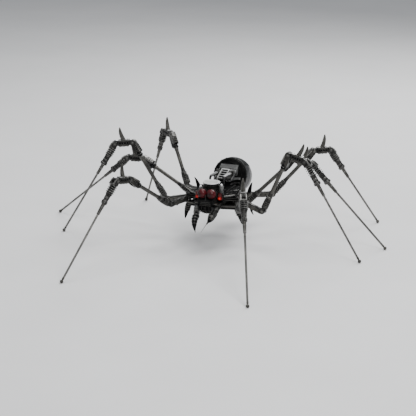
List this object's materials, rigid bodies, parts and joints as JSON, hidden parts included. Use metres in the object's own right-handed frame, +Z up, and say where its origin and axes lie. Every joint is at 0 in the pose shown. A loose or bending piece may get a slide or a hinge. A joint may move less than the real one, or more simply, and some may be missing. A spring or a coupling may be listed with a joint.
{
  "type": "spider robot",
  "caption": "Walking spider robot: jointed metal legs around a flat chassis, head with red lens eyes, turret disc, hinged fangs and a round abdomen that pitches.",
  "frame": {"origin": "bottom centre of the whole robot's bounding box, on the floor it stands on", "axes": "+Z up; the head faces -Y; the robot's left side is +X"},
  "size_m": [0.7166, 0.587, 0.2228],
  "materials": {
    "gunmetal": "dark gunmetal machined metal with bright worn edges",
    "black": "satin black metal",
    "steel": "bare drawn steel rod",
    "chrome": "bright polished plate",
    "red_lens": "dark red tinted lens",
    "red_lamp": "bright red lamp",
    "grey_metal": "light grey brushed metal",
    "battery": "shrink-wrapped cells",
    "board": "circuit board"
  },
  "bodies": {
    "thorax": {"thorax_frame": "gunmetal", "thorax_top_cover": "gunmetal", "control_board": "board", "head_housing": "black", "turret_drum": "black", "waist_yoke": "chrome", "left_eye_lens": "red_lens", "right_eye_lens": "red_lens", "left_side_lamp": "red_lamp", "right_side_lamp": "red_lamp", "left_chelicera": "grey_metal", "right_chelicera": "grey_metal"},
    "turret": {"turret_cap": "chrome"},
    "left_fang": {"left_fang": "black", "needle": "steel"},
    "right_fang": {"right_fang": "black"},
    "abdomen": {"abdomen_shell": "gunmetal", "abdomen_bulkhead": "black", "battery_pack": "battery", "abdomen_top_plate": "grey_metal"},
    "left_leg1_hip": {"left_leg1_coxa": "gunmetal"},
    "left_leg1_thigh": {"left_leg1_femur": "gunmetal"},
    "left_leg1_knee": {"left_leg1_patella": "gunmetal"},
    "left_leg1_shin": {"left_leg1_tibia": "gunmetal", "left_leg1_tarsus": "steel"},
    "right_leg1_hip": {"right_leg1_coxa": "gunmetal"},
    "right_leg1_thigh": {"right_leg1_femur": "gunmetal"},
    "right_leg1_knee": {"right_leg1_patella": "gunmetal"},
    "right_leg1_shin": {"right_leg1_tibia": "gunmetal", "right_leg1_tarsus": "steel"},
    "left_leg2_hip": {"left_leg2_coxa": "gunmetal"},
    "left_leg2_thigh": {"left_leg2_femur": "gunmetal"},
    "left_leg2_knee": {"left_leg2_patella": "gunmetal"},
    "left_leg2_shin": {"left_leg2_tibia": "gunmetal", "left_leg2_tarsus": "steel"},
    "right_leg2_hip": {"right_leg2_coxa": "gunmetal"},
    "right_leg2_thigh": {"right_leg2_femur": "gunmetal"},
    "right_leg2_knee": {"right_leg2_patella": "gunmetal"},
    "right_leg2_shin": {"right_leg2_tibia": "gunmetal", "right_leg2_tarsus": "steel"},
    "left_leg3_hip": {"left_leg3_coxa": "gunmetal"},
    "left_leg3_thigh": {"left_leg3_femur": "gunmetal"},
    "left_leg3_knee": {"left_leg3_patella": "gunmetal"},
    "left_leg3_shin": {"left_leg3_tibia": "gunmetal", "left_leg3_tarsus": "steel"},
    "right_leg3_hip": {"right_leg3_coxa": "gunmetal"},
    "right_leg3_thigh": {"right_leg3_femur": "gunmetal"},
    "right_leg3_knee": {"right_leg3_patella": "gunmetal"},
    "right_leg3_shin": {"right_leg3_tibia": "gunmetal", "right_leg3_tarsus": "steel"},
    "left_leg4_hip": {"left_leg4_coxa": "gunmetal"},
    "left_leg4_thigh": {"left_leg4_femur": "gunmetal"},
    "left_leg4_knee": {"left_leg4_patella": "gunmetal"},
    "left_leg4_shin": {"left_leg4_tibia": "gunmetal", "left_leg4_tarsus": "steel"},
    "right_leg4_hip": {"right_leg4_coxa": "gunmetal"},
    "right_leg4_thigh": {"right_leg4_femur": "gunmetal"},
    "right_leg4_knee": {"right_leg4_patella": "gunmetal"},
    "right_leg4_shin": {"right_leg4_tibia": "gunmetal", "right_leg4_tarsus": "steel"}
  },
  "joints": [
    {"name": "left_leg1_swing", "type": "hinge", "parent": "thorax", "child": "left_leg1_hip", "pos_m": [0.07378, 0.04246, 0.0881], "axis": [0, 0, -1], "range_deg": [-12, 12]},
    {"name": "left_leg1_lift", "type": "hinge", "parent": "left_leg1_hip", "child": "left_leg1_thigh", "pos_m": [0.0945, -0.00881, 0.0874], "axis": [-0.9272, -0.3746, 0], "range_deg": [-25, 12]},
    {"name": "left_leg1_knee", "type": "hinge", "parent": "left_leg1_thigh", "child": "left_leg1_knee", "pos_m": [0.13763, -0.11557, 0.15388], "axis": [-0.9272, -0.3746, 0], "range_deg": [-15, 20]},
    {"name": "left_leg1_bend", "type": "hinge", "parent": "left_leg1_knee", "child": "left_leg1_shin", "pos_m": [0.151, -0.14866, 0.15857], "axis": [-0.9272, -0.3746, 0], "range_deg": [-25, 25]},
    {"name": "right_leg1_swing", "type": "hinge", "parent": "thorax", "child": "right_leg1_hip", "pos_m": [-0.02882, 0.04246, 0.0881], "axis": [0, 0, 1], "range_deg": [-12, 12]},
    {"name": "right_leg1_lift", "type": "hinge", "parent": "right_leg1_hip", "child": "right_leg1_thigh", "pos_m": [-0.04864, -0.00917, 0.0874], "axis": [-0.9336, 0.3584, 0], "range_deg": [-25, 12]},
    {"name": "right_leg1_knee", "type": "hinge", "parent": "right_leg1_thigh", "child": "right_leg1_knee", "pos_m": [-0.0886, -0.11326, 0.15981], "axis": [-0.9336, 0.3584, 0], "range_deg": [-15, 20]},
    {"name": "right_leg1_bend", "type": "hinge", "parent": "right_leg1_knee", "child": "right_leg1_shin", "pos_m": [-0.10137, -0.14655, 0.16482], "axis": [-0.9336, 0.3584, 0], "range_deg": [-25, 25]},
    {"name": "left_leg2_swing", "type": "hinge", "parent": "thorax", "child": "left_leg2_hip", "pos_m": [0.06458, 0.06106, 0.0881], "axis": [0, 0, -1], "range_deg": [-12, 12]},
    {"name": "left_leg2_lift", "type": "hinge", "parent": "left_leg2_hip", "child": "left_leg2_thigh", "pos_m": [0.12414, 0.05163, 0.074], "axis": [-0.1564, -0.9877, 0], "range_deg": [-25, 12]},
    {"name": "left_leg2_knee", "type": "hinge", "parent": "left_leg2_thigh", "child": "left_leg2_knee", "pos_m": [0.17816, 0.04307, 0.19403], "axis": [-0.1564, -0.9877, 0], "range_deg": [-15, 20]},
    {"name": "left_leg2_bend", "type": "hinge", "parent": "left_leg2_knee", "child": "left_leg2_shin", "pos_m": [0.21243, 0.03764, 0.18441], "axis": [-0.1564, -0.9877, 0], "range_deg": [-25, 25]},
    {"name": "right_leg2_swing", "type": "hinge", "parent": "thorax", "child": "right_leg2_hip", "pos_m": [-0.01962, 0.06106, 0.0881], "axis": [0, 0, 1], "range_deg": [-12, 12]},
    {"name": "right_leg2_lift", "type": "hinge", "parent": "right_leg2_hip", "child": "right_leg2_thigh", "pos_m": [-0.07891, 0.05007, 0.0793], "axis": [-0.1822, 0.9833, 0], "range_deg": [-25, 12]},
    {"name": "right_leg2_knee", "type": "hinge", "parent": "right_leg2_thigh", "child": "right_leg2_knee", "pos_m": [-0.14474, 0.03787, 0.19295], "axis": [-0.1822, 0.9833, 0], "range_deg": [-15, 20]},
    {"name": "right_leg2_bend", "type": "hinge", "parent": "right_leg2_knee", "child": "right_leg2_shin", "pos_m": [-0.17991, 0.03135, 0.18888], "axis": [-0.1822, 0.9833, 0], "range_deg": [-25, 25]},
    {"name": "left_leg3_swing", "type": "hinge", "parent": "thorax", "child": "left_leg3_hip", "pos_m": [0.05878, 0.08446, 0.0881], "axis": [0, 0, -1], "range_deg": [-12, 12]},
    {"name": "left_leg3_lift", "type": "hinge", "parent": "left_leg3_hip", "child": "left_leg3_thigh", "pos_m": [0.07648, 0.08638, 0.0755], "axis": [0.108, -0.9942, 0], "range_deg": [-25, 12]},
    {"name": "left_leg3_knee", "type": "hinge", "parent": "left_leg3_thigh", "child": "left_leg3_knee", "pos_m": [0.17104, 0.09665, 0.17062], "axis": [0.108, -0.9942, 0], "range_deg": [-15, 20]},
    {"name": "left_leg3_bend", "type": "hinge", "parent": "left_leg3_knee", "child": "left_leg3_shin", "pos_m": [0.20644, 0.1005, 0.1653], "axis": [0.108, -0.9942, 0], "range_deg": [-25, 25]},
    {"name": "right_leg3_swing", "type": "hinge", "parent": "thorax", "child": "right_leg3_hip", "pos_m": [-0.01382, 0.08446, 0.0881], "axis": [0, 0, 1], "range_deg": [-12, 12]},
    {"name": "right_leg3_lift", "type": "hinge", "parent": "right_leg3_hip", "child": "right_leg3_thigh", "pos_m": [-0.03145, 0.08694, 0.0818], "axis": [0.1392, 0.9903, 0], "range_deg": [-25, 12]},
    {"name": "right_leg3_knee", "type": "hinge", "parent": "right_leg3_thigh", "child": "right_leg3_knee", "pos_m": [-0.1496, 0.10354, 0.14391], "axis": [0.1392, 0.9903, 0], "range_deg": [-15, 20]},
    {"name": "right_leg3_bend", "type": "hinge", "parent": "right_leg3_knee", "child": "right_leg3_shin", "pos_m": [-0.18519, 0.10854, 0.14172], "axis": [0.1392, 0.9903, 0], "range_deg": [-25, 25]},
    {"name": "left_leg4_swing", "type": "hinge", "parent": "thorax", "child": "left_leg4_hip", "pos_m": [0.06578, 0.09966, 0.0881], "axis": [0, 0, -1], "range_deg": [-12, 12]},
    {"name": "left_leg4_lift", "type": "hinge", "parent": "left_leg4_hip", "child": "left_leg4_thigh", "pos_m": [0.11462, 0.13992, 0.0848], "axis": [0.6361, -0.7716, 0], "range_deg": [-25, 12]},
    {"name": "left_leg4_knee", "type": "hinge", "parent": "left_leg4_thigh", "child": "left_leg4_knee", "pos_m": [0.18294, 0.19624, 0.16679], "axis": [0.6361, -0.7716, 0], "range_deg": [-15, 20]},
    {"name": "left_leg4_bend", "type": "hinge", "parent": "left_leg4_knee", "child": "left_leg4_shin", "pos_m": [0.21072, 0.21914, 0.16616], "axis": [0.6361, -0.7716, 0], "range_deg": [-25, 25]},
    {"name": "right_leg4_swing", "type": "hinge", "parent": "thorax", "child": "right_leg4_hip", "pos_m": [-0.02082, 0.09966, 0.0881], "axis": [0, 0, 1], "range_deg": [-12, 12]},
    {"name": "right_leg4_lift", "type": "hinge", "parent": "right_leg4_hip", "child": "right_leg4_thigh", "pos_m": [-0.06749, 0.14242, 0.0811], "axis": [0.6756, 0.7373, 0], "range_deg": [-25, 12]},
    {"name": "right_leg4_knee", "type": "hinge", "parent": "right_leg4_thigh", "child": "right_leg4_knee", "pos_m": [-0.12226, 0.19262, 0.17619], "axis": [0.6756, 0.7373, 0], "range_deg": [-15, 20]},
    {"name": "right_leg4_bend", "type": "hinge", "parent": "right_leg4_knee", "child": "right_leg4_shin", "pos_m": [-0.1488, 0.21693, 0.17682], "axis": [0.6756, 0.7373, 0], "range_deg": [-25, 25]},
    {"name": "left_fang_hinge", "type": "hinge", "parent": "thorax", "child": "left_fang", "pos_m": [0.04018, -0.00071, 0.07427], "axis": [-0.9563, 0.2924, 0], "range_deg": [-15, 12]},
    {"name": "right_fang_hinge", "type": "hinge", "parent": "thorax", "child": "right_fang", "pos_m": [0.00479, -0.00071, 0.07427], "axis": [-0.9563, -0.2924, 0], "range_deg": [-15, 12]},
    {"name": "abdomen_pitch", "type": "hinge", "parent": "thorax", "child": "abdomen", "pos_m": [0.02248, 0.11596, 0.1285], "axis": [1, 0, 0], "range_deg": [-8, 8]},
    {"name": "turret_yaw", "type": "hinge", "parent": "thorax", "child": "turret", "pos_m": [0.02248, 0.03586, 0.1246], "axis": [0, 0, 1], "range_deg": [-90, 90]}
  ]
}
